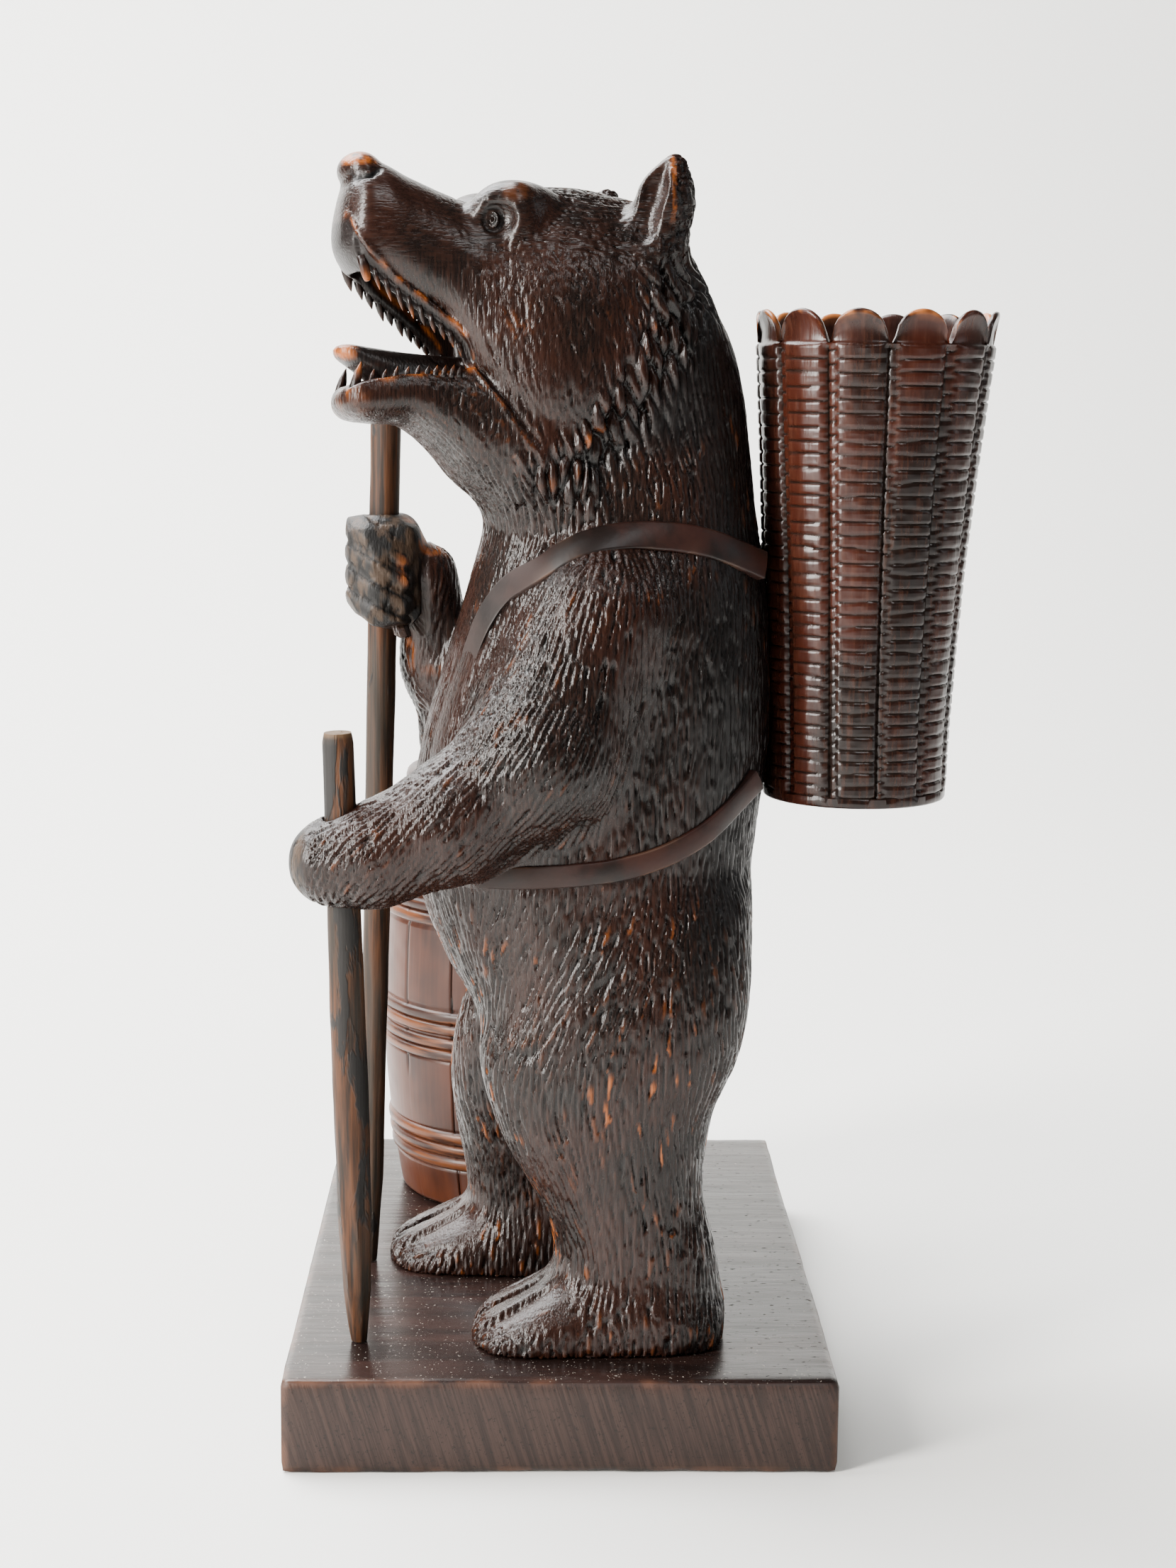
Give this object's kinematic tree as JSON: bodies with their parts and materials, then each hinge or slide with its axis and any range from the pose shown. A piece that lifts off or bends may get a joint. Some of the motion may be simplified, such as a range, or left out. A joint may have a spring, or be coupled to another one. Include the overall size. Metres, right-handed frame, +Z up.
{
  "type": "carved bear bottle holder",
  "caption": "Carved wooden bear on a plank with a tall woven pack basket on its back for a bottle, two staffs and a lidded barrel.",
  "frame": {"origin": "centre of the plinth's underside", "axes": "+Z up; the bear looks towards -Y, its basket is towards +Y; +X is the bear's left, the barrel stands towards -X"},
  "size_m": [0.303, 0.2715, 0.4894],
  "materials": {
    "carved_fur": "dark stained, hand-polished carving",
    "carved_weave": "dark stained, satin",
    "barrel_staves": "red-brown stain, satin",
    "peeled_branch": "whittled branch, dull",
    "plinth_plank": "worn plank, satin"
  },
  "bodies": {
    "root": {"plinth": "plinth_plank", "bear": "carved_fur", "basket": "carved_weave", "barrel": "barrel_staves", "barrel_lid": "barrel_staves", "staff_left": "peeled_branch", "staff_right": "peeled_branch"}
  },
  "joints": []
}
